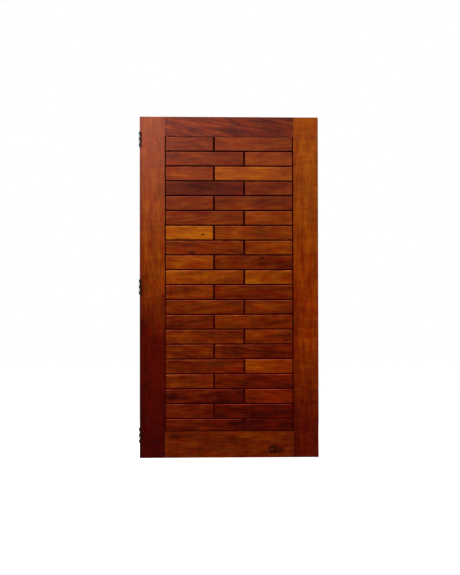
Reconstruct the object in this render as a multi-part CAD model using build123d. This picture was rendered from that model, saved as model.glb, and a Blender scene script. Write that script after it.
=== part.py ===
from build123d import *
import os

# A slatted hardwood door leaf hung on three butt hinges.
# Millimetres. +X runs across the photographed face to the right, +Y goes through the leaf to its
# back, +Z is up. The origin lies on the back face of the middle hinge's jamb flap, at mid height
# of the leaf and in the middle of its thickness.

os.makedirs("parts", exist_ok=True)

# The leaf
LEAF_W = 1067.0
LEAF_H = 2032.0
LEAF_T = 44.0
STILE_W = 149.0
TOP_RAIL_H = 117.5
BOTTOM_RAIL_H = 156.0
EDGE_EASE = 3.0

# The plywood core, held in grooves in the frame's inner edges
CORE_T = 12.0
GROOVE_D = 12.0
CORE_END_GAP = 1.0
CORE_FIT = 0.1

# The blind mortise and tenon joints between rails and stiles
TENON_T = LEAF_T / 3
TENON_L = STILE_W * 0.45
TENON_HAUNCH = TOP_RAIL_H * 0.26
TENON_FIT = 0.1
MORTISE_END_GAP = 2.0

# The slats, laid like bricks: a short and a long one in each row, changing ends row by row
ROWS = 20
LAST_ROW_SHARE = 0.85
SHORT_SHARE = 0.381
FACE_STEP = 2.0
ARRIS = 3.0
ROW_GAP = 5.5
END_GAP = 7.5
SIDE_GAP = 5.0
TOP_GAP = 3.0
BOTTOM_GAP = 4.0

# The butt hinges; the knuckles stand in front of the leaf, just inside its edge
HINGE_H = 89.0
HINGE_INSET = 135.0
FLAP_T = 2.5
FLAP_GAP = 2.5
FLAP_BACKSET = 13.5
KNUCKLES = 5
KNUCKLE_GAP = 0.3
KNUCKLE_WALL = 3.0
KNUCKLE_CLEAR = 0.7
KNUCKLE_LAP = 0.5
PIN_R = 2.5
PIN_FIT = 0.06
PIN_PROUD = 6.5
GAIN_FIT = 0.3
SCREW_HOLE_R = 2.5
SCREW_HEAD_R = 4.25
SCREWS = 3
SCREW_SPACING = HINGE_H * 0.34
SCREW_LINE_SHARE = 0.6

# Everything below follows from the sizes above
LEAF_X0 = FLAP_T + FLAP_GAP
LEAF_X1 = LEAF_X0 + LEAF_W
OPEN_X0 = LEAF_X0 + STILE_W
OPEN_X1 = LEAF_X1 - STILE_W
OPEN_Z0 = -LEAF_H / 2 + BOTTOM_RAIL_H
OPEN_Z1 = LEAF_H / 2 - TOP_RAIL_H
ROW_PITCH = (OPEN_Z1 - OPEN_Z0) / (ROWS - 1 + LAST_ROW_SHARE)
KNUCKLE_R = PIN_R + KNUCKLE_WALL
PIN_X = LEAF_X0 + KNUCKLE_R - KNUCKLE_LAP
PIN_Y = -LEAF_T / 2 - PIN_PROUD
PLATE_Y0 = PIN_Y + KNUCKLE_R + KNUCKLE_CLEAR
PLATE_Y1 = LEAF_T / 2 - FLAP_BACKSET
HINGE_Z = {
    "top": LEAF_H / 2 - HINGE_INSET,
    "middle": 0.0,
    "bottom": HINGE_INSET - LEAF_H / 2,
}
JAMB_KNUCKLES = range(0, KNUCKLES, 2)
LEAF_KNUCKLES = range(1, KNUCKLES, 2)


def block(x0, x1, y0, y1, z0, z1):
    """A box given by its low and high sides."""
    middle = Pos((x0 + x1) / 2, (y0 + y1) / 2, (z0 + z1) / 2)
    return middle * Box(x1 - x0, y1 - y0, z1 - z0)


def tenon_heights(rail):
    """Low and high Z of a rail's tenon: clear of the core's groove and of the leaf's end."""
    if rail == "top":
        return OPEN_Z1 + GROOVE_D, LEAF_H / 2 - TENON_HAUNCH
    return -LEAF_H / 2 + TENON_HAUNCH, OPEN_Z0 - GROOVE_D


def stile(x0, x1, inner):
    """A full-height upright, grooved and mortised in its inner edge, its outer arrises eased."""
    body = block(x0, x1, -LEAF_T / 2, LEAF_T / 2, -LEAF_H / 2, LEAF_H / 2)
    outer_side = 0 if inner == x1 else -1
    long_edges = body.edges().filter_by(Axis.Z).group_by(Axis.X)[outer_side]
    body = chamfer(long_edges, EDGE_EASE)
    inward = -1 if inner == x1 else 1
    groove_floor = inner + inward * GROOVE_D
    half_groove = CORE_T / 2 + CORE_FIT
    body -= block(min(inner, groove_floor), max(inner, groove_floor), -half_groove, half_groove,
                  OPEN_Z0 - GROOVE_D, OPEN_Z1 + GROOVE_D)
    mortise_floor = inner + inward * (TENON_L + MORTISE_END_GAP)
    half_mortise = TENON_T / 2 + TENON_FIT
    for rail in ("top", "bottom"):
        z0, z1 = tenon_heights(rail)
        body -= block(min(inner, mortise_floor), max(inner, mortise_floor),
                      -half_mortise, half_mortise, z0 - TENON_FIT, z1 + TENON_FIT)
    return body


def hinge_stile():
    """The upright on the hinge side, with a shallow gain cut in its edge for each leaf flap."""
    body = stile(LEAF_X0, OPEN_X0, OPEN_X0)
    for z in HINGE_Z.values():
        body -= block(LEAF_X0, LEAF_X0 + FLAP_T, -LEAF_T / 2, PLATE_Y1 + GAIN_FIT,
                      z - HINGE_H / 2 - GAIN_FIT, z + HINGE_H / 2 + GAIN_FIT)
    return body


def rail(name, z0, z1):
    """A cross piece between the stiles: shoulders, one tenon at each end, a groove for the core."""
    body = block(OPEN_X0, OPEN_X1, -LEAF_T / 2, LEAF_T / 2, z0, z1)
    t0, t1 = tenon_heights(name)
    body += block(OPEN_X0 - TENON_L, OPEN_X1 + TENON_L, -TENON_T / 2, TENON_T / 2, t0, t1)
    half_groove = CORE_T / 2 + CORE_FIT
    if name == "top":
        body -= block(OPEN_X0, OPEN_X1, -half_groove, half_groove, z0, z0 + GROOVE_D)
    else:
        body -= block(OPEN_X0, OPEN_X1, -half_groove, half_groove, z1 - GROOVE_D, z1)
    return body


def core_panel():
    """The plywood sheet that stiffens the leaf and carries the slats on both faces."""
    reach = GROOVE_D - CORE_END_GAP
    return block(OPEN_X0 - reach, OPEN_X1 + reach, -CORE_T / 2, CORE_T / 2,
                 OPEN_Z0 - reach, OPEN_Z1 + reach)


def slat(x0, x1, z0, z1, side):
    """One board planted on the core; side is -1 on the front and 1 on the back."""
    y_core = side * CORE_T / 2
    y_face = side * (LEAF_T / 2 - FACE_STEP)
    board = block(x0, x1, min(y_core, y_face), max(y_core, y_face), z0, z1)
    face_edges = board.edges().group_by(Axis.Y)[0 if side < 0 else -1]
    return chamfer(face_edges, ARRIS)


def row_heights(row):
    """Low and high Z of the boards in a row, counted from 0 at the top."""
    upper = OPEN_Z1 - row * ROW_PITCH
    lower = max(upper - ROW_PITCH, OPEN_Z0)
    top_gap = TOP_GAP if row == 0 else ROW_GAP / 2
    bottom_gap = BOTTOM_GAP if row == ROWS - 1 else ROW_GAP / 2
    return lower + bottom_gap, upper - top_gap


def slat_row(row):
    """A row's short and long boards on the front, and the same pair again on the back."""
    x0 = OPEN_X0 + SIDE_GAP
    x1 = OPEN_X1 - SIDE_GAP
    share = SHORT_SHARE if row % 2 == 0 else 1 - SHORT_SHARE
    joint = x0 + share * (x1 - x0)
    z0, z1 = row_heights(row)
    boards = []
    for side in (-1, 1):
        boards.append(slat(x0, joint - END_GAP / 2, z0, z1, side))
        boards.append(slat(joint + END_GAP / 2, x1, z0, z1, side))
    return Compound(children=boards)


def knuckle_span(number):
    """Low and high Z of a knuckle about the hinge's middle, counted from 0 at the bottom."""
    height = (HINGE_H - (KNUCKLES - 1) * KNUCKLE_GAP) / KNUCKLES
    low = -HINGE_H / 2 + number * (height + KNUCKLE_GAP)
    return low, low + height


def upright_cylinder(radius, z0, z1):
    """A cylinder on the pin's axis."""
    return Pos(PIN_X, PIN_Y, (z0 + z1) / 2) * Cylinder(radius, z1 - z0)


def pin(z_mid):
    """A fixed pin, riveted and dressed level with the end knuckles."""
    return upright_cylinder(PIN_R, z_mid - HINGE_H / 2, z_mid + HINGE_H / 2)


def countersink(x_face, into, y, z, narrow_r):
    """A cone at 90 degrees, wide at the flap's face; into is the X direction of the screw."""
    depth = SCREW_HEAD_R - narrow_r
    wide_first = Cone(SCREW_HEAD_R, narrow_r, depth)
    return Pos(x_face + into * depth / 2, y, z) * Rot(0, 90 * into, 0) * wide_first


def shank_hole(y, z):
    """The straight hole for a screw's shank, through a flap that lies at X 0."""
    return Pos(FLAP_T / 2, y, z) * Rot(0, 90, 0) * Cylinder(SCREW_HOLE_R, 2 * FLAP_T)


def screw_places():
    """Y and Z of a flap's screws about the hinge's middle, in one upright line."""
    y = PLATE_Y0 + SCREW_LINE_SHARE * (PLATE_Y1 - PLATE_Y0)
    first = -(SCREWS - 1) / 2 * SCREW_SPACING
    return [(y, first + number * SCREW_SPACING) for number in range(SCREWS)]


def crank(x0, z0, z1):
    """The strap from a plate to its knuckle: straight forward, then bent across to the pin if it must."""
    if PIN_X - KNUCKLE_R < x0 + FLAP_T:
        return block(x0, x0 + FLAP_T, PIN_Y, PLATE_Y0, z0, z1)
    front = PIN_Y - FLAP_T / 2
    strap = block(x0, x0 + FLAP_T, front, PLATE_Y0, z0, z1)
    strap += block(x0, PIN_X, front, front + FLAP_T, z0, z1)
    bend = strap.edges().filter_by(Axis.Z).sort_by(Axis.X).group_by(Axis.Y)[0][0]
    return fillet(bend, FLAP_T)


def flap(z_mid, x0, knuckles):
    """A hinge flap: the plate, and the knuckles curled from it round the pin."""
    body = block(x0, x0 + FLAP_T, PLATE_Y0, PLATE_Y1, z_mid - HINGE_H / 2, z_mid + HINGE_H / 2)
    for number in knuckles:
        low, high = knuckle_span(number)
        body += crank(x0, z_mid + low, z_mid + high)
        body += upright_cylinder(KNUCKLE_R, z_mid + low, z_mid + high)
    body -= upright_cylinder(PIN_R + PIN_FIT, z_mid - HINGE_H, z_mid + HINGE_H)
    return body


def jamb_flap(z_mid):
    """The cranked flap, screwed to the jamb; it has the end knuckles and the middle one."""
    body = flap(z_mid, 0, JAMB_KNUCKLES)
    for y, z in screw_places():
        body -= shank_hole(y, z_mid + z)
        body -= countersink(FLAP_T, -1, y, z_mid + z, SCREW_HOLE_R)
    return body


def leaf_flap(z_mid):
    """The flap that lies in the leaf's edge, level with the wood, sunk right through for its screws."""
    body = flap(z_mid, LEAF_X0, LEAF_KNUCKLES)
    for y, z in screw_places():
        body -= countersink(LEAF_X0, 1, y, z_mid + z, SCREW_HEAD_R - FLAP_T)
    return body


def save(name, shape):
    export_step(shape, f"parts/{name}.step")
    print(name, len(shape.solids()), "solids", round(shape.volume), "mm3")


save("hinge_stile", hinge_stile())
save("closing_stile", stile(OPEN_X1, LEAF_X1, OPEN_X1))
save("top_rail", rail("top", OPEN_Z1, LEAF_H / 2))
save("bottom_rail", rail("bottom", -LEAF_H / 2, OPEN_Z0))
save("core_panel", core_panel())
for row in range(ROWS):
    save(f"slat_row_{row + 1:02d}", slat_row(row))
for place, z_mid in HINGE_Z.items():
    save(f"{place}_hinge_jamb_flap", jamb_flap(z_mid))
    save(f"{place}_hinge_leaf_flap", leaf_flap(z_mid))
    save(f"{place}_hinge_pin", pin(z_mid))
print("row pitch", round(ROW_PITCH, 2), "leaf from X", LEAF_X0, "to", LEAF_X1)
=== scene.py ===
# %% [markdown]
# # A slatted hardwood door leaf
# The object is one door leaf: two stiles, two rails, and twenty rows of boards laid like bricks
# between them, hung on three dark butt hinges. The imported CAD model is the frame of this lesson:
# its stiles, rails, core and hinges stay and get their finish here, the boards are made again
# with rounded arrises and a tone of their own, and the screws are added.

# %% Load the frame
import bpy, bmesh, math
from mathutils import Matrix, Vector


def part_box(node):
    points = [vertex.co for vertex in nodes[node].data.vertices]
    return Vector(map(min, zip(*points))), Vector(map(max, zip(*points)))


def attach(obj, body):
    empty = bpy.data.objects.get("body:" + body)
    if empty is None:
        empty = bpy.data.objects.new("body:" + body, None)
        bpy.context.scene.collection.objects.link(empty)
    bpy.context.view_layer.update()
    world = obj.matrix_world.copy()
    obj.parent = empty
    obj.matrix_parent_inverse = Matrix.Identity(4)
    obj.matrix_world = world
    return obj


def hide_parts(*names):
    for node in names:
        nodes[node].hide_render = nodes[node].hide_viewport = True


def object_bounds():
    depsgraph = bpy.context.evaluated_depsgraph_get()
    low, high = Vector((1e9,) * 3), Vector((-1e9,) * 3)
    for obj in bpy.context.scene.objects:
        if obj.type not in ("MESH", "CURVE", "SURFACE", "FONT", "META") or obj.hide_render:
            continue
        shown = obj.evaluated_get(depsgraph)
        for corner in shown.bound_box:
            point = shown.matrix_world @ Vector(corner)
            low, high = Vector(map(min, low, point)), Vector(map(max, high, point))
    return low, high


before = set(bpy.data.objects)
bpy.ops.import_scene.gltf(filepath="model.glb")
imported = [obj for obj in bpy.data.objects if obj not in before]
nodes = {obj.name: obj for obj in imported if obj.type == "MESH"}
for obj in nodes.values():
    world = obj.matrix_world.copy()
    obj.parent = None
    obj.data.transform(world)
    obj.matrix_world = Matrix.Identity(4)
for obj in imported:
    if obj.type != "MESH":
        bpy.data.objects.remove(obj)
cad_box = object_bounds()
print("CAD box", [tuple(round(v, 4) for v in corner) for corner in cad_box])

# %% [markdown]
# A finish is a tree of shader nodes, and a shape that repeats is a tree of geometry nodes. Both
# are built with the same small function: it adds one node, sets its properties, and gives each of
# its inputs a value or a link. Colours are written as they look on a screen and turned to linear
# light by one function. A third function makes an object from its data and puts it in the scene.

# %% Three helpers
def add(tree, kind, inputs=None, **settings):
    """Add a node; settings are its properties, inputs its values or the sockets linked to it."""
    made = tree.nodes.new(kind)
    for name, value in settings.items():
        setattr(made, name, value)
    for key, value in (inputs or {}).items():
        if isinstance(value, bpy.types.NodeSocket):
            tree.links.new(value, made.inputs[key])
        else:
            made.inputs[key].default_value = value
    return made


def linear(hex_colour):
    """An sRGB hex colour as linear RGBA."""
    parts = [int(hex_colour[i:i + 2], 16) / 255 for i in (1, 3, 5)]
    return [p / 12.92 if p <= 0.04045 else ((p + 0.055) / 1.055) ** 2.4 for p in parts] + [1.0]


def placed(name, data):
    """A new object with this data, linked to the scene."""
    made = bpy.data.objects.new(name, data)
    bpy.context.collection.objects.link(made)
    return made


# %% [markdown]
# The photograph looks almost squarely at the leaf from about ten metres away, so the leaf hardly
# narrows. The camera stands in front of the hinge edge, a little below the leaf's middle, and looks
# slightly to the right and up. It was found by fitting the grooves, joints and outline that were
# measured in the picture.

# %% Camera
LONG_SIDE_PIXELS = 575
SENSOR_MM = 36.0
CAMERA_AT = Vector((0.0036, -9.993, -0.263))
FOCAL_PIXELS = 1674.7
TURN_RIGHT, TILT_UP, ROLL = 3.093, 1.487, 0.093

camera_data = bpy.data.cameras.new("camera")
camera_data.sensor_width = SENSOR_MM
camera_data.lens = FOCAL_PIXELS / LONG_SIDE_PIXELS * camera_data.sensor_width
camera = placed("camera", camera_data)
camera.location = CAMERA_AT
camera.rotation_euler = [math.radians(90 + TILT_UP), math.radians(ROLL), math.radians(-TURN_RIGHT)]
bpy.context.scene.camera = camera
print("lens", round(camera_data.lens, 1), "mm")

# %% [markdown]
# The photograph is cut out on white, but a white sky would light the leaf flat. So only rays from the
# camera, and rays that a surface reflects or lets through, see the white. All others see a weak sky,
# which fills the shadows. The Standard view shows colours as they come out, so the white stays white.

# %% World
SKY_STRENGTH = 0.09
scene = bpy.context.scene
scene.view_settings.view_transform = "Standard"


def seeing_rays(tree):
    """A socket that is 1 for camera, reflected and transmitted rays, and 0 for rays of light."""
    path = add(tree, "ShaderNodeLightPath").outputs
    seen = add(tree, "ShaderNodeMath", {0: path["Is Camera Ray"], 1: path["Is Glossy Ray"]},
               operation="MAXIMUM").outputs[0]
    return add(tree, "ShaderNodeMath", {0: seen, 1: path["Is Transmission Ray"]},
               operation="MAXIMUM").outputs[0]


world = bpy.data.worlds.new("studio")
scene.world = world
world.use_nodes = True
sky = world.node_tree
sky.nodes.clear()
dim = add(sky, "ShaderNodeBackground", {"Color": linear("#FFFFFF"), "Strength": SKY_STRENGTH})
white = add(sky, "ShaderNodeBackground", {"Color": linear("#FFFFFF"), "Strength": 1.0})
mixed = add(sky, "ShaderNodeMixShader", {0: seeing_rays(sky), 1: dim.outputs[0], 2: white.outputs[0]})
add(sky, "ShaderNodeOutputWorld", {"Surface": mixed.outputs[0]})
print("sky", SKY_STRENGTH)

# %% [markdown]
# The light is a large soft box high on the hinge side. It is near the leaf, so the top is bright
# and the foot falls into shade. A smaller box lights nothing by itself: it is there to be reflected,
# as a window would be, and lies as a pale haze on the lacquer at the top left. A third box lights
# the back.

# %% Lamps
LAMPS = {
    "key": {"at": (-0.25, -1.7, 1.95), "towards": (0.4, 0.0, 0.1), "size": (1.3, 0.9), "watts": 62},
    "back_fill": {"at": (1.4, 3.2, 1.4), "towards": (0.5, 0.0, 0.0), "size": (1.8, 1.4), "watts": 90},
    "window_glint": {"at": (-0.22, -1.1, 1.42), "towards": (0.0, 0.0, 1.0), "size": (0.5, 0.5),
                     "watts": 37},
}


def soft_box(name, at, towards, size, watts):
    """A rectangular lamp that faces a point."""
    data = bpy.data.lights.new(name, "AREA")
    data.shape = "RECTANGLE"
    data.size, data.size_y = size
    data.energy = watts
    lamp = placed(name, data)
    lamp.location = at
    lamp.rotation_euler = (Vector(towards) - Vector(at)).to_track_quat("-Z", "Y").to_euler()
    lamp.visible_camera = False
    return lamp


lamps = {name: soft_box(name, **lamp) for name, lamp in LAMPS.items()}
lamps["window_glint"].visible_diffuse = False
print("lamps", list(lamps))

# %% [markdown]
# The floor is plain and pale. It has to look as white as the background and still keep the
# leaf's shadow, so it glows a little for the camera on top of what the lamps give it.

# %% Floor
FLOOR_DROP = 0.006
FLOOR_Z = cad_box[0].z - FLOOR_DROP
FLOOR_HALF = 30.0
FLOOR_GLOW = 0.93
floor_mesh = bpy.data.meshes.new("floor")
floor_mesh.from_pydata([(-FLOOR_HALF, -FLOOR_HALF, FLOOR_Z), (FLOOR_HALF, -FLOOR_HALF, FLOOR_Z),
                        (FLOOR_HALF, FLOOR_HALF, FLOOR_Z), (-FLOOR_HALF, FLOOR_HALF, FLOOR_Z)],
                       [], [(0, 1, 2, 3)])
floor = placed("floor", floor_mesh)

pale = bpy.data.materials.new("pale_floor")
pale.use_nodes = True
tree = pale.node_tree
tree.nodes.clear()
matt = add(tree, "ShaderNodeBsdfDiffuse", {"Color": linear("#E8E8E8")})
glow = add(tree, "ShaderNodeEmission", {"Color": linear("#FFFFFF"), "Strength": FLOOR_GLOW})
none = add(tree, "ShaderNodeEmission", {"Strength": 0.0})
only_seen = add(tree, "ShaderNodeMixShader", {0: seeing_rays(tree), 1: none.outputs[0], 2: glow.outputs[0]})
both = add(tree, "ShaderNodeAddShader", {0: matt.outputs[0], 1: only_seen.outputs[0]})
add(tree, "ShaderNodeOutputMaterial", {"Surface": both.outputs[0]})
floor_mesh.materials.append(pale)
print("floor at", round(FLOOR_Z, 4))

# %% [markdown]
# ## Sizes from the frame
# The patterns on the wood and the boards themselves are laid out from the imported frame: the
# opening between stiles and rails, the pitch of the rows, and how deep their faces lie.

# %% Sizes from the frame
front_low, front_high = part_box("hinge_stile")
LEAF_EDGE, FACE_Y = front_low.x, front_low.y
OPEN_LEFT, OPEN_RIGHT = front_high.x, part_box("closing_stile")[0].x
OPEN_TOP, OPEN_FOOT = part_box("top_rail")[0].z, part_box("bottom_rail")[1].z
row_two_high, row_three_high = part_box("slat_row_02")[1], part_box("slat_row_03")[1]
PITCH = row_two_high.z - row_three_high.z
ROWS = sum(name.startswith("slat_row_") for name in nodes)
SLAT_FACE = row_two_high.y
CORE_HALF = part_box("core_panel")[1].y
print("opening", round(OPEN_RIGHT - OPEN_LEFT, 4), "x", round(OPEN_TOP - OPEN_FOOT, 4))
print("rows", ROWS, "pitch", round(PITCH, 5))

# %% [markdown]
# ## Hardwood
# The leaf is a red-brown tropical hardwood, planed, stained and sprayed with satin lacquer. To the
# eye each board has its own tone, from plum to honey, with streaks and clouds along the grain where
# interlocked grain takes the stain differently, faint growth rings that open into arches, and short
# dark pores. It is built up in that order, by one small function for each thing the eye sees.

# %% The hardwood's tones and the sizes of its figure, in metres
TONES = [
    (0.00, "#2A0A04"),
    (0.22, "#521A06"),
    (0.42, "#763004"),
    (0.60, "#924004"),
    (0.78, "#AE5504"),
    (1.00, "#CE760A"),
]
RED_STAIN = "#F09070"
# The grooves' dark colour is a dark stain with painted shade; the top one is darker, as painted shade.
GROOVE_TOP, GROOVE_FOOT = "#360201", "#640E03"
PORE_DARK = "#1E0505"
KNOT_DARK = "#240502"
STREAK_WIDTH, STREAK_LENGTH = 0.010, 0.17
CLOUD_WIDTH, CLOUD_LENGTH = 0.045, 0.17
RIPPLE_WIDTH, RIPPLE_LENGTH = 0.13, 0.035
PATCH_WIDTH, PATCH_LENGTH = 0.024, 0.08
RING_WIDTH = 0.007
PORE_WIDTH, PORE_LENGTH = 0.0010, 0.018
print("tones", len(TONES), "from", TONES[0][1], "to", TONES[-1][1])

# %% [markdown]
# Grain has a direction, so every pattern reads a place whose X runs along the grain, whose Y runs
# across it and whose Z goes into the board. A board's own shift moves it to its own piece of the
# tree, and a slope lets its grain run out a little at an angle, as it does in real boards.

# %% Along the grain
BOARD_SHIFT = (40.0, 5.0, 5.0)
SLOPE_MOST = 0.13


def wood_place(tree, along, board, slope):
    """Sockets for the place, the grain place, the same shifted for the board, its tone and its pith."""
    place = add(tree, "ShaderNodeTexCoord").outputs["Object"]
    split = add(tree, "ShaderNodeSeparateXYZ", {0: place})
    grain, cross = split.outputs["X"], split.outputs["Z"]
    if along == "Z":
        grain, cross = cross, grain
    if board is None:
        tone = add(tree, "ShaderNodeAttribute", attribute_name="board_tone").outputs["Fac"]
        shift = add(tree, "ShaderNodeAttribute", attribute_name="board_shift").outputs["Vector"]
        pith = add(tree, "ShaderNodeAttribute", attribute_name="board_pith").outputs["Vector"]
        chance = add(tree, "ShaderNodeSeparateXYZ", {0: shift}).outputs["Y"]
        slope = add(tree, "ShaderNodeMapRange", {0: chance, 1: 0.0, 2: BOARD_SHIFT[1], 3: -SLOPE_MOST,
                                                 4: SLOPE_MOST}).outputs[0]
    else:
        tone, shift, pith = board
    run_out = add(tree, "ShaderNodeMath", {0: grain, 1: slope, 2: cross},
                  operation="MULTIPLY_ADD").outputs[0]
    turned = add(tree, "ShaderNodeCombineXYZ", {0: grain, 1: run_out, 2: split.outputs["Y"]}).outputs[0]
    own = add(tree, "ShaderNodeVectorMath", {0: turned, 1: shift}, operation="ADD").outputs[0]
    return place, turned, own, tone, pith


# %% [markdown]
# Streaks are long and thin, clouds are a hand wide, and ripples are soft bands across the grain
# where its fibres wave. All three are the same noise, stretched by different real sizes.

# %% Streaks, clouds and ripples
def figure(tree, own, streak, cloud, ripple):
    """The streaks, and how much streaks, clouds and ripples lift or lower the board's tone."""
    long_thin = add(tree, "ShaderNodeVectorMath",
                    {0: own, 1: (1 / STREAK_LENGTH, 1 / STREAK_WIDTH, 1 / STREAK_WIDTH)},
                    operation="MULTIPLY")
    streaks = add(tree, "ShaderNodeTexNoise", {"Vector": long_thin.outputs[0], "Scale": 1.0, "Detail": 4.0,
                                               "Roughness": 0.6, "Distortion": 0.6}).outputs["Fac"]
    broad = add(tree, "ShaderNodeVectorMath",
                {0: own, 1: (1 / CLOUD_LENGTH, 1 / CLOUD_WIDTH, 1 / CLOUD_WIDTH)}, operation="MULTIPLY")
    clouds = add(tree, "ShaderNodeTexNoise", {"Vector": broad.outputs[0], "Scale": 1.0, "Detail": 4.0,
                                              "Roughness": 0.55, "Distortion": 0.4}).outputs["Fac"]
    waved = add(tree, "ShaderNodeVectorMath",
                {0: own, 1: (1 / RIPPLE_LENGTH, 1 / RIPPLE_WIDTH, 1 / RIPPLE_WIDTH)}, operation="MULTIPLY")
    ripples = add(tree, "ShaderNodeTexNoise", {"Vector": waved.outputs[0], "Scale": 1.0, "Detail": 1.0,
                                               "Distortion": 0.8}).outputs["Fac"]
    lift = -(streak + cloud + ripple) / 2
    for pattern, amount in ((streaks, streak), (clouds, cloud), (ripples, ripple)):
        lift = add(tree, "ShaderNodeMath", {0: pattern, 1: amount, 2: lift},
                   operation="MULTIPLY_ADD").outputs[0]
    return streaks, lift


# %% [markdown]
# Growth rings are drawn as a carpenter thinks of them: circles about the tree's middle, the pith,
# cut by the board. So a board's end shows arcs, and its face shows lines that open into arches. The
# pith lies a few centimetres behind the face and wanders, or the lines would be ruled.

# %% Growth rings
WANDER_SCALE = (1.1, 5.0, 5.0)
WANDER_MOST = (0.0, 0.11, 0.11)


def growth_rings(tree, turned, own, pith):
    """A wave from -1 to 1 with one crest to a ring."""
    slow = add(tree, "ShaderNodeVectorMath", {0: own, 1: WANDER_SCALE}, operation="MULTIPLY")
    wander = add(tree, "ShaderNodeTexNoise", {"Vector": slow.outputs[0], "Scale": 1.0, "Detail": 1.5})
    centred = add(tree, "ShaderNodeVectorMath", {0: wander.outputs["Color"], 1: (0.5, 0.5, 0.5)},
                  operation="SUBTRACT")
    bent = add(tree, "ShaderNodeVectorMath", {0: centred.outputs[0], 1: WANDER_MOST},
               operation="MULTIPLY")
    from_pith = add(tree, "ShaderNodeVectorMath", {0: turned, 1: pith}, operation="SUBTRACT")
    from_pith = add(tree, "ShaderNodeVectorMath", {0: from_pith.outputs[0], 1: bent.outputs[0]},
                    operation="ADD")
    across = add(tree, "ShaderNodeVectorMath", {0: from_pith.outputs[0], 1: (0.0, 1.0, 1.0)},
                 operation="MULTIPLY")
    radius = add(tree, "ShaderNodeVectorMath", {0: across.outputs[0]}, operation="LENGTH").outputs["Value"]
    turns = add(tree, "ShaderNodeMath", {0: radius, 1: 2 * math.pi / RING_WIDTH}, operation="MULTIPLY")
    return add(tree, "ShaderNodeMath", {0: turns.outputs[0]}, operation="SINE").outputs[0]


# %% [markdown]
# A board's tone, lifted or lowered by its figure and rings, is looked up on a scale of colours. The figure
# stands out more towards the foot of the leaf, where the painted shade is deep.

# %% From tone to colour
RING_SHARE = 0.03
FOOT_CONTRAST, CONTRAST_FROM, CONTRAST_TO = 1.55, 0.3, -0.8


def toned(tree, place, tone, lift, rings):
    """The bare wood's colour."""
    height = add(tree, "ShaderNodeSeparateXYZ", {0: place}).outputs["Z"]
    contrast = add(tree, "ShaderNodeMapRange", {0: height, 1: CONTRAST_FROM, 2: CONTRAST_TO, 3: 1.0,
                                                4: FOOT_CONTRAST}).outputs[0]
    lift = add(tree, "ShaderNodeMath", {0: lift, 1: contrast}, operation="MULTIPLY").outputs[0]
    level = add(tree, "ShaderNodeMath", {0: rings, 1: RING_SHARE, 2: lift}, operation="MULTIPLY_ADD")
    level = add(tree, "ShaderNodeMath", {0: level.outputs[0], 1: tone}, operation="ADD", use_clamp=True)
    ramp = add(tree, "ShaderNodeValToRGB", {0: level.outputs[0]})
    first, last = ramp.color_ramp.elements
    first.position, first.color = TONES[0][0], linear(TONES[0][1])
    last.position, last.color = TONES[-1][0], linear(TONES[-1][1])
    for at, colour in TONES[1:-1]:
        ramp.color_ramp.elements.new(at).color = linear(colour)
    return ramp.outputs[0]


# %% [markdown]
# Over that lies the stain. Dark boards take more red from it than light ones, in patches, and the top of
# the leaf a little less than the rest. The wood is also darkened towards the foot, a painted shade where
# the lamp's light falls off, sooner on the closing side of the boards, and it is darker along the left edge
# of each stile. Towards the top the colour is mixed with a milky, plum-coloured haze, a painted reflection
# on the lacquer.

# %% Stain
PATCH_STRENGTH = 2.2
RED_FOOT, RED_TOP, RED_LOSS = 1.15, 0.98, 1.4
RED_FROM, RED_TO = 0.0, 0.6
# Painted reflection: towards the top the colour is mixed with this pale plum haze, as a window would lie on
# the lacquer.
PAINTED_HAZE = "#8A4A40"
HAZE_FROM, HAZE_TO = 0.1, 0.95


def darkened_in_stages(tree, colour, value, stages):
    """The colour darkened in stages of (colour, value where it starts, value where it is full)."""
    for stain_and_shade, start, full in stages:
        depth = add(tree, "ShaderNodeMapRange", {0: value, 1: start, 2: full, 3: 0.0, 4: 1.0},
                    interpolation_type="SMOOTHSTEP")
        colour = add(tree, "ShaderNodeMix", {"Factor": depth.outputs[0], 6: colour, 7: linear(stain_and_shade)},
                     data_type="RGBA", blend_type="MULTIPLY").outputs[2]
    return colour


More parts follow.
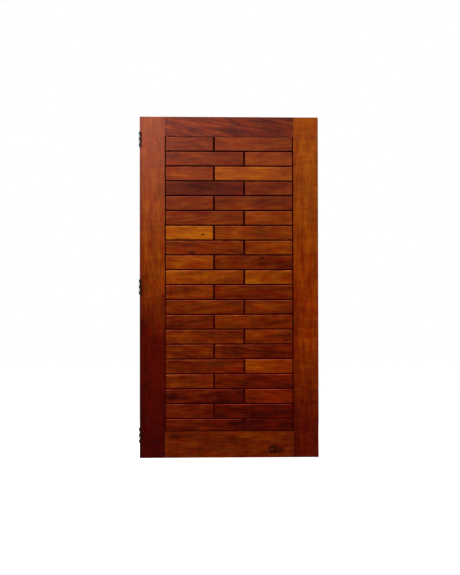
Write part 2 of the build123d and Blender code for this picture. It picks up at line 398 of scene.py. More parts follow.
def stained_and_shaded(tree, colour, place, own, tone, foot_shade, slant, side, haze_share):
    """The colour under stain, with stages of painted shade down the leaf, darker stages across it, and a
    painted reflection haze towards the top.
    """
    patch = add(tree, "ShaderNodeVectorMath",
                {0: own, 1: (1 / PATCH_LENGTH, 1 / PATCH_WIDTH, 1 / PATCH_WIDTH)}, operation="MULTIPLY")
    patches = add(tree, "ShaderNodeTexNoise", {"Vector": patch.outputs[0], "Scale": 1.0, "Detail": 2.0})
    split = add(tree, "ShaderNodeSeparateXYZ", {0: place}).outputs
    height = split["Z"]
    most = add(tree, "ShaderNodeMapRange",
               {0: height, 1: RED_FROM, 2: RED_TO, 3: RED_FOOT - PATCH_STRENGTH / 2,
                4: RED_TOP - PATCH_STRENGTH / 2}).outputs[0]
    redness = add(tree, "ShaderNodeMath", {0: tone, 1: -RED_LOSS, 2: most}, operation="MULTIPLY_ADD")
    redness = add(tree, "ShaderNodeMath",
                  {0: patches.outputs["Fac"], 1: PATCH_STRENGTH, 2: redness.outputs[0]},
                  operation="MULTIPLY_ADD", use_clamp=True)
    red = add(tree, "ShaderNodeMix", {"Factor": redness.outputs[0], 6: colour, 7: linear(RED_STAIN)},
              data_type="RGBA", blend_type="MULTIPLY").outputs[2]
    # Painted shade: the foot stages darken the wood towards the foot along a slanted line, and the side
    # stages darken it towards one edge.
    slanted = add(tree, "ShaderNodeMath", {0: split["X"], 1: -slant, 2: height},
                  operation="MULTIPLY_ADD").outputs[0]
    shaded = darkened_in_stages(tree, darkened_in_stages(tree, red, slanted, foot_shade), split["X"], side)
    # Painted reflection haze, growing towards the top of the leaf by the part's haze share.
    hazed = add(tree, "ShaderNodeMapRange", {0: height, 1: HAZE_FROM, 2: HAZE_TO, 3: 0.0, 4: haze_share},
                interpolation_type="SMOOTHSTEP")
    return add(tree, "ShaderNodeMix", {"Factor": hazed.outputs[0], 6: shaded, 7: linear(PAINTED_HAZE)},
               data_type="RGBA").outputs[2]


# %% [markdown]
# Pores are short dark strokes. They are drawn a few times wider than real, so that they show at all.

# %% Pores
PORES_FROM, PORES_TO, PORE_STRENGTH = 0.56, 0.72, 0.55


def pored(tree, colour, own):
    """The colour with its pores, and the pores for the relief."""
    fine = add(tree, "ShaderNodeVectorMath",
               {0: own, 1: (1 / PORE_LENGTH, 1 / PORE_WIDTH, 1 / PORE_WIDTH)}, operation="MULTIPLY")
    pores = add(tree, "ShaderNodeTexNoise", {"Vector": fine.outputs[0], "Scale": 1.0, "Detail": 1.0})
    dark = add(tree, "ShaderNodeMapRange", {0: pores.outputs["Fac"], 1: PORES_FROM, 2: PORES_TO, 3: 0.0,
                                            4: PORE_STRENGTH})
    mixed = add(tree, "ShaderNodeMix", {"Factor": dark.outputs[0], 6: colour, 7: linear(PORE_DARK)},
                data_type="RGBA")
    return mixed.outputs[2], pores.outputs["Fac"]


# %% [markdown]
# A knot is a dark ring with a lighter heart, where a branch grew out. A fleck is dark all through and
# drawn out along the grain, and a shade is a longer, softer one. They lie on the photographed face
# only, at their real places, each with its size, how many times as long as high it is, how light its
# heart is, and how strong the mark is.

# %% Knots, flecks and shades
FLECK, SHADE = (2.2, 0.0, 0.85), (4.0, 0.0, 0.45)
MARK_CORE, HEART_FROM, HEART_TO = 0.35, 0.1, 0.4
RAIL_MARKS = [
    (0.834, OPEN_FOOT - 0.110, 0.026, 2.0, 0.0, 0.65),
    (0.800, OPEN_FOOT - 0.124, 0.016, 2.0, 0.0, 0.5),
    (0.812, OPEN_FOOT - 0.084, 0.018, 1.6, 0.0, 0.4),
    (0.795, OPEN_FOOT - 0.107, 0.034, 1.1, 0.8, 0.85),
]
BOARD_MARKS = [
    (0.381, 0.312, 0.008, *FLECK),
    (0.552, -0.273, 0.008, *FLECK),
    (0.422, -0.270, 0.006, *FLECK),
    (0.874, -0.317, 0.008, *FLECK),
    (0.735, 0.172, 0.010, *FLECK),
    (0.314, 0.206, 0.011, *FLECK),
    (0.392, 0.602, 0.040, *SHADE),
    (0.547, -0.398, 0.030, *SHADE),
    (0.634, -0.850, 0.030, *SHADE),
    (0.889, -0.850, 0.030, *SHADE),
]


def marked(tree, colour, place, marks):
    """The colour with dark marks, each (x, z, size, stretch, heart, strength)."""
    for x, z, size, stretch, heart, strength in marks:
        away = add(tree, "ShaderNodeVectorMath", {0: place, 1: (x, FACE_Y, z)}, operation="SUBTRACT")
        away = add(tree, "ShaderNodeVectorMath", {0: away.outputs[0], 1: (1 / stretch, 1.0, 1.0)},
                   operation="MULTIPLY")
        gap = add(tree, "ShaderNodeVectorMath", {0: away.outputs[0]}, operation="LENGTH").outputs["Value"]
        dark = add(tree, "ShaderNodeMapRange",
                   {0: gap, 1: size * MARK_CORE, 2: size, 3: strength, 4: 0.0},
                   interpolation_type="SMOOTHSTEP").outputs[0]
        if heart:
            ring = add(tree, "ShaderNodeMapRange",
                       {0: gap, 1: size * HEART_FROM, 2: size * HEART_TO, 3: 1.0 - heart, 4: 1.0},
                       interpolation_type="SMOOTHSTEP").outputs[0]
            dark = add(tree, "ShaderNodeMath", {0: dark, 1: ring}, operation="MULTIPLY").outputs[0]
        colour = add(tree, "ShaderNodeMix", {"Factor": dark, 6: colour, 7: linear(KNOT_DARK)},
                     data_type="RGBA").outputs[2]
    return colour


# %% [markdown]
# On the boards between the frame, the grooves and the arrises that do not look up are dark and matt: a dark
# stain with painted shade over it, darkest at the top of the leaf, which is painted shade too. The arris
# that looks up shows as a light line, a painted highlight, clearest towards the foot, and the arris that
# looks to the hinges shows it faintly. Which way an arris looks comes from its normal, which turns with the
# leaf here, and how deep a point lies comes from its place.

# %% The boards' edges
# Painted highlight: arrises that look up and to the hinges, towards the key lamp, are lightened, more
# towards the foot, and kept clear of the groove darkening down to a depth.
HIGHLIGHT_DEPTH, GROOVE_DARK_FADE = 0.0010, 0.0003
HIGHLIGHT_TOP, HIGHLIGHT_FOOT, HIGHLIGHT_SATURATION = 1.9, 4.5, 0.95
HIGHLIGHT_WAY, LEAN_FROM, LEAN_TO = (-0.45, 0.0, 1.0), 0.15, 0.5
# Between GROOVE_FROM and GROOVE_TO the grooves' dark colour changes from top to foot, a painted shade.
HIGHLIGHT_FROM, HIGHLIGHT_TO, GROOVE_FROM, GROOVE_TO = 0.5, -0.5, 0.3, -0.5


def groove_stain_and_shade(tree, place):
    """The grooves' dark colour, a dark stain with painted shade, almost black at the top of the leaf and
    dark red at its foot; that change is painted shade.
    """
    height = add(tree, "ShaderNodeSeparateXYZ", {0: place}).outputs["Z"]
    low = add(tree, "ShaderNodeMapRange", {0: height, 1: GROOVE_FROM, 2: GROOVE_TO, 3: 0.0,
                                           4: 1.0}).outputs[0]
    return add(tree, "ShaderNodeMix", {"Factor": low, 6: linear(GROOVE_TOP), 7: linear(GROOVE_FOOT)},
               data_type="RGBA").outputs[2]


def edges_highlit_and_shaded(tree, colour, place):
    """The colour with a painted highlight on the arrises that look up and to the hinges, dark grooves of
    stain and painted shade, and where the grooves are dark.
    """
    # Painted highlight: how far an arris faces the key lamp decides how much it is lightened.
    normal = add(tree, "ShaderNodeTexCoord").outputs["Normal"]
    lean = add(tree, "ShaderNodeVectorMath", {0: normal, 1: HIGHLIGHT_WAY},
               operation="DOT_PRODUCT").outputs["Value"]
    highlit = add(tree, "ShaderNodeMapRange", {0: lean, 1: LEAN_FROM, 2: LEAN_TO, 3: 0.0, 4: 1.0}).outputs[0]
    split = add(tree, "ShaderNodeSeparateXYZ", {0: place}).outputs
    highlight = add(tree, "ShaderNodeMapRange", {0: split["Z"], 1: HIGHLIGHT_FROM, 2: HIGHLIGHT_TO, 3: HIGHLIGHT_TOP,
                                              4: HIGHLIGHT_FOOT}).outputs[0]
    colour = add(tree, "ShaderNodeHueSaturation",
                 {"Saturation": HIGHLIGHT_SATURATION, "Value": highlight, "Fac": highlit,
                  "Color": colour}).outputs[0]
    out = add(tree, "ShaderNodeMath", {0: split["Y"]}, operation="ABSOLUTE").outputs[0]
    depth = add(tree, "ShaderNodeMath", {0: SLAT_FACE, 1: out}, operation="SUBTRACT").outputs[0]
    highlit_depth = add(tree, "ShaderNodeMath", {0: highlit, 1: HIGHLIGHT_DEPTH}, operation="MULTIPLY").outputs[0]
    below = add(tree, "ShaderNodeMath", {0: depth, 1: highlit_depth}, operation="SUBTRACT").outputs[0]
    groove_dark = add(tree, "ShaderNodeMapRange", {0: below, 1: 0.0, 2: GROOVE_DARK_FADE, 3: 0.0, 4: 1.0}).outputs[0]
    colour = add(tree, "ShaderNodeMix", {"Factor": groove_dark, 6: colour, 7: groove_stain_and_shade(tree, place)},
                 data_type="RGBA").outputs[2]
    return colour, groove_dark


# %% [markdown]
# The finish puts these together. The lacquer is satin: it fills most of the grain, so the relief
# that is left is slight, and its gloss changes a little with the streaks. A thin lacquer over a dark
# stain reflects little, hence the low specular level.

# %% The whole finish
LACQUER_SPECULAR = 0.035
RELIEF, RELIEF_STRENGTH, STREAK_RELIEF = 0.0006, 0.22, 0.4
GLOSSY, SATIN, GROOVE_ROUGHNESS = 0.36, 0.5, 0.9
GLOSSY_STREAK, SATIN_STREAK = 0.3, 0.7
# Painted shade: the wood is multiplied by this colour towards the foot, where the lamp's light falls off.
FOOT_SHADE = "#E19450"


def hardwood(name, along, board=None, slope=0.0, streak=0.5, cloud=0.75, ripple=0.12,
             foot_shade=((FOOT_SHADE, 0.1, -1.0),), slant=0.0, side=(), haze_share=0.17, marks=()):
    """Lacquered hardwood with its grain along an axis; board is (tone, shift, pith), or each its own."""
    material = bpy.data.materials.new(name)
    material.use_nodes = True
    tree = material.node_tree
    tree.nodes.clear()
    place, turned, own, tone, pith = wood_place(tree, along, board, slope)
    streaks, lift = figure(tree, own, streak, cloud, ripple)
    colour = toned(tree, place, tone, lift, growth_rings(tree, turned, own, pith))
    colour = stained_and_shaded(tree, colour, place, own, tone, foot_shade, slant, side, haze_share)
    colour, pores = pored(tree, colour, own)
    colour = marked(tree, colour, place, marks)
    gloss = add(tree, "ShaderNodeMapRange",
                {0: streaks, 1: GLOSSY_STREAK, 2: SATIN_STREAK, 3: GLOSSY, 4: SATIN}).outputs[0]
    if board is None:
        colour, groove_dark = edges_highlit_and_shaded(tree, colour, place)
        gloss = add(tree, "ShaderNodeMix", {0: groove_dark, 2: gloss, 3: GROOVE_ROUGHNESS}).outputs[0]
    relief = add(tree, "ShaderNodeMath", {0: streaks, 1: STREAK_RELIEF, 2: pores},
                 operation="MULTIPLY_ADD").outputs[0]
    bump = add(tree, "ShaderNodeBump",
               {"Strength": RELIEF_STRENGTH, "Distance": RELIEF, "Height": relief}).outputs[0]
    surface = add(tree, "ShaderNodeBsdfPrincipled",
                  {"Base Color": colour, "Roughness": gloss, "Normal": bump, "IOR": 1.5,
                   "Specular IOR Level": LACQUER_SPECULAR})
    add(tree, "ShaderNodeOutputMaterial", {"Surface": surface.outputs[0]})
    return material


# %% [markdown]
# ## The boards
# The infill is one rule repeated: every row has a short and a long board, and the short one
# changes ends from row to row. So a geometry-nodes tree lays all eighty boards, forty on each
# face, from the same sizes as the frame. Each board is a stretched cube that carries its own tone,
# a shift that gives it its own piece of the grain, and the place of its tree's middle.

# %% Sizes of the boards
BOARD_SIZES = {
    "Rows": ROWS, "Pitch": PITCH, "Left": OPEN_LEFT, "Right": OPEN_RIGHT, "Top": OPEN_TOP,
    "Foot": OPEN_FOOT, "Short Share": 0.381, "Row Gap": 0.0055, "End Gap": 0.0075, "Side Gap": 0.005,
    "Top Gap": 0.003, "Bottom Gap": 0.004, "Core": CORE_HALF, "Face": SLAT_FACE, "Seed": 2353,
}


def pattern_tree(name, sizes, **others):
    """A geometry-nodes tree with an input for every size and every other socket, and those inputs."""
    tree = bpy.data.node_groups.new(name, "GeometryNodeTree")
    kinds = {key: "NodeSocketInt" if isinstance(value, int) else "NodeSocketFloat"
             for key, value in sizes.items()}
    for key, kind in {**kinds, **others}.items():
        tree.interface.new_socket(key, in_out="INPUT", socket_type=kind)
    tree.interface.new_socket("Geometry", in_out="OUTPUT", socket_type="NodeSocketGeometry")
    return tree, add(tree, "NodeGroupInput").outputs


board_tree, given = pattern_tree("brick_bond_boards", BOARD_SIZES, Finish="NodeSocketMaterial")
print("board sizes", {k: round(v, 4) for k, v in BOARD_SIZES.items()})

# %% [markdown]
# A point's number says which board it is: four to a row, left and right on the front, then left
# and right on the back.

# %% Which board a point stands for
number = add(board_tree, "GeometryNodeInputIndex").outputs[0]
count = add(board_tree, "ShaderNodeMath", {0: given["Rows"], 1: 4.0}, operation="MULTIPLY").outputs[0]
quarter = add(board_tree, "ShaderNodeMath", {0: number, 1: 4.0}, operation="DIVIDE").outputs[0]
row = add(board_tree, "ShaderNodeMath", {0: quarter}, operation="FLOOR").outputs[0]
odd = add(board_tree, "ShaderNodeMath", {0: row, 1: 2.0}, operation="MODULO").outputs[0]
is_right = add(board_tree, "ShaderNodeMath", {0: number, 1: 2.0}, operation="MODULO").outputs[0]
in_row = add(board_tree, "ShaderNodeMath", {0: number, 1: 4.0}, operation="MODULO").outputs[0]
is_back = add(board_tree, "ShaderNodeMath", {0: in_row, 1: 1.5}, operation="GREATER_THAN").outputs[0]
is_first = add(board_tree, "ShaderNodeMath", {0: row, 1: 0.5}, operation="LESS_THAN").outputs[0]
last_row = add(board_tree, "ShaderNodeMath", {0: given["Rows"], 1: 1.5}, operation="SUBTRACT").outputs[0]
is_last = add(board_tree, "ShaderNodeMath", {0: row, 1: last_row}, operation="GREATER_THAN").outputs[0]
print("nodes for the number", len(board_tree.nodes))

# %% [markdown]
# Along the row a board runs from one stile to the joint, or from the joint to the other stile. The
# short board lies on the left in the first row and on the right in the next. At the joint each board
# keeps back half of the end gap, and at the stiles the side gap.

# %% Where it begins and ends along the row
half_end = add(board_tree, "ShaderNodeMath", {0: given["End Gap"], 1: 0.5}, operation="MULTIPLY").outputs[0]
row_x0 = add(board_tree, "ShaderNodeMath", {0: given["Left"], 1: given["Side Gap"]},
             operation="ADD").outputs[0]
row_x1 = add(board_tree, "ShaderNodeMath", {0: given["Right"], 1: given["Side Gap"]},
             operation="SUBTRACT").outputs[0]
long_share = add(board_tree, "ShaderNodeMath", {0: 1.0, 1: given["Short Share"]},
                 operation="SUBTRACT").outputs[0]
share = add(board_tree, "ShaderNodeMix", {0: odd, 2: given["Short Share"], 3: long_share}).outputs[0]
joint = add(board_tree, "ShaderNodeMix", {0: share, 2: row_x0, 3: row_x1}).outputs[0]
after = add(board_tree, "ShaderNodeMath", {0: joint, 1: half_end}, operation="ADD").outputs[0]
before = add(board_tree, "ShaderNodeMath", {0: joint, 1: half_end}, operation="SUBTRACT").outputs[0]
x0 = add(board_tree, "ShaderNodeMix", {0: is_right, 2: row_x0, 3: after}).outputs[0]
x1 = add(board_tree, "ShaderNodeMix", {0: is_right, 2: before, 3: row_x1}).outputs[0]
print("with those for the ends", len(board_tree.nodes))

# %% [markdown]
# The rows are counted down from the top rail by their pitch, and the last one is cut to the height
# that is left, as a joiner would do. A front board lies on the core's front, a back board behind it.

# %% How high it lies and how deep
half_row = add(board_tree, "ShaderNodeMath", {0: given["Row Gap"], 1: 0.5}, operation="MULTIPLY").outputs[0]
down = add(board_tree, "ShaderNodeMath", {0: row, 1: given["Pitch"]}, operation="MULTIPLY").outputs[0]
upper = add(board_tree, "ShaderNodeMath", {0: given["Top"], 1: down}, operation="SUBTRACT").outputs[0]
next_one = add(board_tree, "ShaderNodeMath", {0: upper, 1: given["Pitch"]}, operation="SUBTRACT").outputs[0]
lower = add(board_tree, "ShaderNodeMix", {0: is_last, 2: next_one, 3: given["Foot"]}).outputs[0]
gap_over = add(board_tree, "ShaderNodeMix", {0: is_first, 2: half_row, 3: given["Top Gap"]}).outputs[0]
gap_under = add(board_tree, "ShaderNodeMix", {0: is_last, 2: half_row, 3: given["Bottom Gap"]}).outputs[0]
z1 = add(board_tree, "ShaderNodeMath", {0: upper, 1: gap_over}, operation="SUBTRACT").outputs[0]
z0 = add(board_tree, "ShaderNodeMath", {0: lower, 1: gap_under}, operation="ADD").outputs[0]
way = add(board_tree, "ShaderNodeMath", {0: is_back, 1: 2.0, 2: -1.0}, operation="MULTIPLY_ADD").outputs[0]
y_core = add(board_tree, "ShaderNodeMath", {0: way, 1: given["Core"]}, operation="MULTIPLY").outputs[0]
y_face = add(board_tree, "ShaderNodeMath", {0: way, 1: given["Face"]}, operation="MULTIPLY").outputs[0]
print("with those for height and depth", len(board_tree.nodes))

# %% [markdown]
# The two opposite corners give the middle and the size of the stretched cube. Chance gives the tone,
# the shift and how far the pith lies from the board's middle, each from a seed of its own.

# %% The board, and what it carries
TONE_RANGE = (0.40, 0.58)
PITH_RANGE = ((-0.07, 0.015, -0.07), (0.07, 0.09, 0.07))

low = add(board_tree, "ShaderNodeCombineXYZ", {0: x0, 1: y_core, 2: z0}).outputs[0]
high = add(board_tree, "ShaderNodeCombineXYZ", {0: x1, 1: y_face, 2: z1}).outputs[0]
middle = add(board_tree, "ShaderNodeMix", {0: 0.5, 4: low, 5: high}, data_type="VECTOR").outputs[1]
span = add(board_tree, "ShaderNodeVectorMath", {0: high, 1: low}, operation="SUBTRACT").outputs[0]
size = add(board_tree, "ShaderNodeVectorMath", {0: span}, operation="ABSOLUTE").outputs[0]
points = add(board_tree, "GeometryNodePoints", {"Count": count, "Position": middle}).outputs[0]
cube = add(board_tree, "GeometryNodeMeshCube", {"Size": (1.0, 1.0, 1.0)}).outputs["Mesh"]
laid = add(board_tree, "GeometryNodeInstanceOnPoints",
           {"Points": points, "Instance": cube, "Scale": size}).outputs[0]
next_seed = add(board_tree, "ShaderNodeMath", {0: given["Seed"], 1: 1.0}, operation="ADD").outputs[0]
third_seed = add(board_tree, "ShaderNodeMath", {0: given["Seed"], 1: 2.0}, operation="ADD").outputs[0]
tone = add(board_tree, "FunctionNodeRandomValue",
           {2: TONE_RANGE[0], 3: TONE_RANGE[1], "ID": number, "Seed": given["Seed"]},
           data_type="FLOAT").outputs[1]
shift = add(board_tree, "FunctionNodeRandomValue",
            {0: (0.0, 0.0, 0.0), 1: BOARD_SHIFT, "ID": number, "Seed": next_seed},
            data_type="FLOAT_VECTOR").outputs[0]
off_pith = add(board_tree, "FunctionNodeRandomValue",
               {0: PITH_RANGE[0], 1: PITH_RANGE[1], "ID": number, "Seed": third_seed},
               data_type="FLOAT_VECTOR").outputs[0]
pith_at = add(board_tree, "ShaderNodeVectorMath", {0: middle, 1: off_pith}, operation="ADD").outputs[0]
pith_parts = add(board_tree, "ShaderNodeSeparateXYZ", {0: pith_at})
pith = add(board_tree, "ShaderNodeCombineXYZ",
           {0: 0.0, 1: pith_parts.outputs["Z"], 2: pith_parts.outputs["Y"]}).outputs[0]
for label, kind, value in (("board_tone", "FLOAT", tone), ("board_shift", "FLOAT_VECTOR", shift),
                           ("board_pith", "FLOAT_VECTOR", pith), ("board_number", "INT", number)):
    laid = add(board_tree, "GeometryNodeStoreNamedAttribute",
               {"Geometry": laid, "Name": label, "Value": value},
               data_type=kind, domain="INSTANCE").outputs[0]
real = add(board_tree, "GeometryNodeRealizeInstances", {0: laid}).outputs[0]
finished = add(board_tree, "GeometryNodeSetMaterial",
               {"Geometry": real, "Material": given["Finish"]}).outputs[0]
add(board_tree, "NodeGroupOutput", {"Geometry": finished})
print("the whole tree", len(board_tree.nodes), "nodes")

# %% [markdown]
# The tree is put on an empty mesh, its inputs are set, and a bevel rounds the arrises, which on
# the real boards are planed off and catch the light. The result is made one plain mesh, because
# all the boards ride on the leaf.

# %% Lay the boards
ARRIS_WIDTH, ARRIS_SEGMENTS, ARRIS_PROFILE = 0.003, 3, 0.38
# On the boards the painted shade towards the foot starts lower and comes sooner on the closing side.
board_finish = hardwood("slat_hardwood", "X", foot_shade=((FOOT_SHADE, -0.39, -1.46),), slant=0.8,
                        marks=BOARD_MARKS)


def make_plain(name, tree, values, rounded=False):
    """A plain mesh object from a geometry-nodes tree and its values; rounded bevels its arrises."""
    start = placed(name + "_start", bpy.data.meshes.new(name + "_start"))
    modifier = start.modifiers.new("nodes", "NODES")
    modifier.node_group = tree
    for item in tree.interface.items_tree:
        if item.in_out == "INPUT":
            modifier[item.identifier] = values[item.name]
    if rounded:
        rounding = start.modifiers.new("arrises", "BEVEL")
        rounding.width, rounding.segments = ARRIS_WIDTH, ARRIS_SEGMENTS
        rounding.profile, rounding.limit_method = ARRIS_PROFILE, "ANGLE"
    bpy.context.view_layer.update()
    ready = start.evaluated_get(bpy.context.evaluated_depsgraph_get())
    mesh = bpy.data.meshes.new_from_object(ready)
    mesh.name = name
    made = placed(name, mesh)
    bpy.data.objects.remove(start)
    return made


boards = make_plain("slats", board_tree, {**BOARD_SIZES, "Finish": board_finish}, rounded=True)
print("boards", len(boards.data.polygons), "faces", list(boards.data.attributes.keys()))

# %% [markdown]
# Most boards keep the tone that chance gave them. A few stand out on the real leaf's front, and are
# named here by row and side.

# %% Boards that stand out
STAND_OUT = {
    0.78: ["7 left", "16 right"],
    0.68: ["3 right", "10 right"],
    0.62: ["10 left", "18 right"],
    0.50: ["12 left"],
    0.39: ["1 left", "2 left", "19 right"],
    0.34: ["18 left", "20 right"],
    0.29: ["4 left"],
}
chosen = {}
for tone_value, places in STAND_OUT.items():
    for place in places:
        row_number, side = place.split()
        chosen[(int(row_number) - 1) * 4 + (side == "right")] = tone_value
numbers = boards.data.attributes["board_number"].data
tones = boards.data.attributes["board_tone"].data
for point, stored in enumerate(numbers):
    if stored.value in chosen:
        tones[point].value = chosen[stored.value]
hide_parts(*[f"slat_row_{n:02d}" for n in range(1, ROWS + 1)])
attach(boards, "leaf")
print("boards that stand out", len(chosen))

# %% [markdown]
# ## The frame of the leaf
# The stiles and rails are solid boards whose shape the CAD already has. They keep their meshes and
# get the same hardwood, with the grain upright in the stiles and level in the rails.

# %% Finish the frame
# Each part's foot stages are painted shade towards the foot; the side stages make the stiles darker along
# their left edges.
hardwoods = {
    # Painted reflection: each haze share mixes the pale plum haze into the top of the part, most on the
    # hinge stile.
    "hinge_stile": hardwood(
        "hinge_stile_hardwood", "Z", (0.58, (3.0, 0.4, 1.7), (0.0, OPEN_LEFT - 0.05, 0.07)),
        streak=0.3, cloud=0.5, ripple=0.25,
        foot_shade=(("#AA5628", 0.22, -0.3), ("#D8A080", -0.4, -0.9)), slant=-0.7,
        side=(("#E0D0C8", LEAF_EDGE + 0.035, LEAF_EDGE),), haze_share=0.35),
    "closing_stile": hardwood(
        "closing_stile_hardwood", "Z", (0.67, (9.0, 2.2, 0.3), (0.0, OPEN_RIGHT + 0.03, 0.1)),
        streak=0.3, cloud=0.5, ripple=0.3,
        foot_shade=(("#FFD9B0", 0.6, -0.1), ("#B38050", -0.3, -0.85)),
        side=(("#F0E2DE", OPEN_RIGHT + 0.05, OPEN_RIGHT),), haze_share=0.08),
    "top_rail": hardwood(
        "top_rail_hardwood", "X", (0.32, (17.0, 1.1, 2.9), (0.0, OPEN_TOP + 0.09, 0.05)),
        slope=0.19, streak=0.9, cloud=1.4, haze_share=0.2),
    "bottom_rail": hardwood(
        "bottom_rail_hardwood", "X", (0.56, (23.0, 4.1, 0.6), (0.0, OPEN_FOOT - 0.06, 0.08)),
        streak=0.35, cloud=0.65, foot_shade=(("#ECD084", 0.1, -1.0),), marks=RAIL_MARKS),
}
for node_name, finish in hardwoods.items():
    nodes[node_name].material_slots[0].material = finish
print("hardwood on", list(hardwoods))

# %% [markdown]
# The core shows only as the floor of the grooves. It is plywood with the grooves' own dark colour, a stain
# with painted shade, so that they read as shadow lines, and its veneer takes the stain in fine level
# streaks.

# %% Core
VENEER_SHADE, VENEER_SCALE = "#C8B4B4", (3.0, 3.0, 120.0)
CORE_ROUGHNESS, CORE_SPECULAR = 0.8, 0.05
core = bpy.data.materials.new("stained_plywood")
core.use_nodes = True
tree = core.node_tree
place = add(tree, "ShaderNodeTexCoord").outputs["Object"]
veneer = add(tree, "ShaderNodeVectorMath", {0: place, 1: VENEER_SCALE}, operation="MULTIPLY")
veneer = add(tree, "ShaderNodeTexNoise", {"Vector": veneer.outputs[0], "Scale": 1.0, "Detail": 3.0})
# The grooves' dark colour, a stain with painted shade, lies on the core too.
stain_and_shade = add(tree, "ShaderNodeMix",
            {"Factor": veneer.outputs["Fac"], 6: groove_stain_and_shade(tree, place), 7: linear(VENEER_SHADE)},
            data_type="RGBA", blend_type="MULTIPLY").outputs[2]
surface = tree.nodes["Principled BSDF"]
tree.links.new(stain_and_shade, surface.inputs["Base Color"])
surface.inputs["Roughness"].default_value = CORE_ROUGHNESS
surface.inputs["Specular IOR Level"].default_value = CORE_SPECULAR
nodes["core_panel"].material_slots[0].material = core
print("core", core.name)

# %% [markdown]
# ## The hinges
# They are steel butt hinges with a dark bronze lacquer, almost black, a little worn and mottled.
# The lacquer is smooth but not bright, so the knuckles carry one soft line of light.

# %% Dark bronze
MOTTLE_SCALE, MOTTLE_FROM, MOTTLE_TO = 160.0, 0.35, 0.65
BRONZE_DARK, BRONZE_LIGHT = "#140704", "#30140A"
SMOOTH, WORN = 0.32, 0.5
BRONZE_METALLIC, BRONZE_SPECULAR = 0.3, 0.08
bronze = bpy.data.materials.new("dark_bronze_lacquered_steel")
bronze.use_nodes = True
tree = bronze.node_tree
place = add(tree, "ShaderNodeTexCoord").outputs["Object"]
mottle = add(tree, "ShaderNodeTexNoise", {"Vector": place, "Scale": MOTTLE_SCALE, "Detail": 3.0})
tint = add(tree, "ShaderNodeMix",
           {"Factor": mottle.outputs["Fac"], 6: linear(BRONZE_DARK), 7: linear(BRONZE_LIGHT)},
           data_type="RGBA").outputs[2]
wear = add(tree, "ShaderNodeMapRange",
           {0: mottle.outputs["Fac"], 1: MOTTLE_FROM, 2: MOTTLE_TO, 3: SMOOTH, 4: WORN})
surface = tree.nodes["Principled BSDF"]
tree.links.new(tint, surface.inputs["Base Color"])
tree.links.new(wear.outputs[0], surface.inputs["Roughness"])
surface.inputs["Metallic"].default_value = BRONZE_METALLIC
surface.inputs["Specular IOR Level"].default_value = BRONZE_SPECULAR
for place_name in ("top", "middle", "bottom"):
    for piece_name in ("jamb_flap", "leaf_flap", "pin"):
        nodes[f"{place_name}_hinge_{piece_name}"].material_slots[0].material = bronze
print("hinges", bronze.name)

# %% [markdown]
# The screws fill the countersinks of the leaf flaps, level with them. Only a head shows of each, so
# only the head is made: turned from its profile about X, the way the screw is driven, and slotted
# with a small block.

# %% One screw head
flap_low, flap_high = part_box("middle_hinge_leaf_flap")
KNUCKLE_WIDTH, KNUCKLE_GAP = 0.011, 0.0007
LINE_SHARE, SPACING_SHARE = 0.6, 0.34
PLATE_FRONT = flap_low.y + KNUCKLE_WIDTH + KNUCKLE_GAP
SCREW_LINE = PLATE_FRONT + LINE_SHARE * (flap_high.y - PLATE_FRONT)
SCREW_SPACING = SPACING_SHARE * (flap_high.z - flap_low.z)
HINGE_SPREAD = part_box("top_hinge_pin")[1].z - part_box("middle_hinge_pin")[1].z
HEAD_R, HEAD_DEPTH, RIM = 0.00415, 0.0023, 0.0002
SLOT_WIDTH, SLOT_DEPTH, TURNS = 0.0011, 0.0009, 32


def screw_head():
    """A countersunk head with its face at X 0, looking to -X, and a slot across it."""
    profile = [(0.0, 0.0), (0.0, HEAD_R - RIM), (RIM, HEAD_R),
               (HEAD_DEPTH, HEAD_R - HEAD_DEPTH), (HEAD_DEPTH, 0.0)]
    shape = bmesh.new()
    corners = [shape.verts.new((x, 0.0, r)) for x, r in profile]
    edges = [shape.edges.new(pair) for pair in zip(corners, corners[1:])]
    bmesh.ops.spin(shape, geom=corners + edges, cent=(0, 0, 0), axis=(1, 0, 0), angle=2 * math.pi,
                   steps=TURNS)
    bmesh.ops.remove_doubles(shape, verts=shape.verts, dist=1e-6)
    bmesh.ops.recalc_face_normals(shape, faces=shape.faces)
    head = placed("screw_head", bpy.data.meshes.new("screw_head"))
    shape.to_mesh(head.data)
    shape.free()
    cutter_shape = bmesh.new()
    bmesh.ops.create_cube(cutter_shape, size=1.0)
    bmesh.ops.scale(cutter_shape, vec=(2 * SLOT_DEPTH, 3 * HEAD_R, SLOT_WIDTH), verts=cutter_shape.verts)
    cutter = placed("slot_cutter", bpy.data.meshes.new("slot_cutter"))
    cutter_shape.to_mesh(cutter.data)
    cutter_shape.free()
    cut = head.modifiers.new("slot", "BOOLEAN")
    cut.object, cut.operation, cut.solver = cutter, "DIFFERENCE", "EXACT"
    bpy.context.view_layer.update()
    slotted = bpy.data.meshes.new_from_object(head.evaluated_get(bpy.context.evaluated_depsgraph_get()))
    for spent in (head, cutter):
        bpy.data.objects.remove(spent)
    return slotted


template = placed("screw_template", screw_head())
print("screw head", len(template.data.polygons), "faces")

# %% [markdown]
# Each flap has three screws in a line. A small tree counts all nine, finds the hinge and the place
# in its line for each, and turns each to its own angle, because no two stop alike when driven.

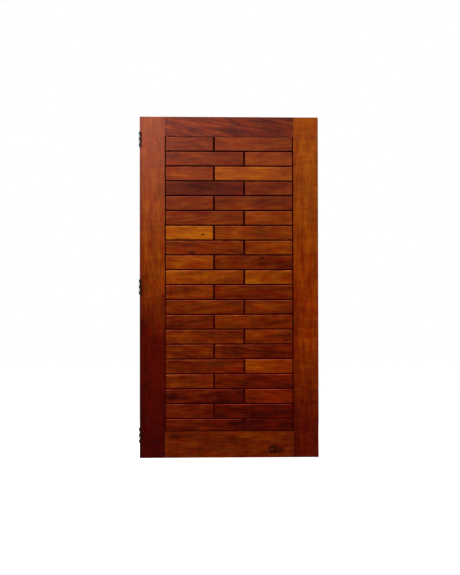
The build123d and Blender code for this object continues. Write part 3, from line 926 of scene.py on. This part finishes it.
# %% Set the screws
SCREWS_TO_HINGE, HINGES = 3, 3
SCREW_SIZES = {"Face": LEAF_EDGE, "Line": SCREW_LINE, "Spacing": SCREW_SPACING,
               "Spread": HINGE_SPREAD, "Sunk": 0.00005, "Seed": 5}
screw_tree, given = pattern_tree("flap_screws", SCREW_SIZES, Head="NodeSocketObject",
                                 Finish="NodeSocketMaterial")
number = add(screw_tree, "GeometryNodeInputIndex").outputs[0]
share = add(screw_tree, "ShaderNodeMath", {0: number, 1: SCREWS_TO_HINGE}, operation="DIVIDE").outputs[0]
hinge = add(screw_tree, "ShaderNodeMath", {0: share}, operation="FLOOR").outputs[0]
in_hinge = add(screw_tree, "ShaderNodeMath", {0: number, 1: SCREWS_TO_HINGE},
               operation="MODULO").outputs[0]
hinge_off = add(screw_tree, "ShaderNodeMath", {0: hinge, 1: 1.0}, operation="SUBTRACT").outputs[0]
screw_off = add(screw_tree, "ShaderNodeMath", {0: in_hinge, 1: 1.0}, operation="SUBTRACT").outputs[0]
hinge_z = add(screw_tree, "ShaderNodeMath", {0: hinge_off, 1: given["Spread"]},
              operation="MULTIPLY").outputs[0]
screw_z = add(screw_tree, "ShaderNodeMath", {0: screw_off, 1: given["Spacing"], 2: hinge_z},
              operation="MULTIPLY_ADD").outputs[0]
face = add(screw_tree, "ShaderNodeMath", {0: given["Face"], 1: given["Sunk"]}, operation="ADD").outputs[0]
at = add(screw_tree, "ShaderNodeCombineXYZ", {0: face, 1: given["Line"], 2: screw_z}).outputs[0]
points = add(screw_tree, "GeometryNodePoints",
             {"Count": SCREWS_TO_HINGE * HINGES, "Position": at}).outputs[0]
turn = add(screw_tree, "FunctionNodeRandomValue",
           {2: 0.0, 3: math.pi, "ID": number, "Seed": given["Seed"]}, data_type="FLOAT").outputs[1]
facing = add(screw_tree, "ShaderNodeCombineXYZ", {0: turn, 1: 0.0, 2: 0.0}).outputs[0]
head = add(screw_tree, "GeometryNodeObjectInfo", {"Object": given["Head"]}).outputs["Geometry"]
driven = add(screw_tree, "GeometryNodeInstanceOnPoints",
             {"Points": points, "Instance": head, "Rotation": facing}).outputs[0]
real = add(screw_tree, "GeometryNodeRealizeInstances", {0: driven}).outputs[0]
finished = add(screw_tree, "GeometryNodeSetMaterial",
               {"Geometry": real, "Material": given["Finish"]}).outputs[0]
add(screw_tree, "NodeGroupOutput", {"Geometry": finished})
screws = make_plain("leaf_flap_screws", screw_tree, {**SCREW_SIZES, "Head": template, "Finish": bronze})
bpy.data.objects.remove(template)
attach(screws, "leaf")
print("screws", len(screws.data.polygons), "faces")
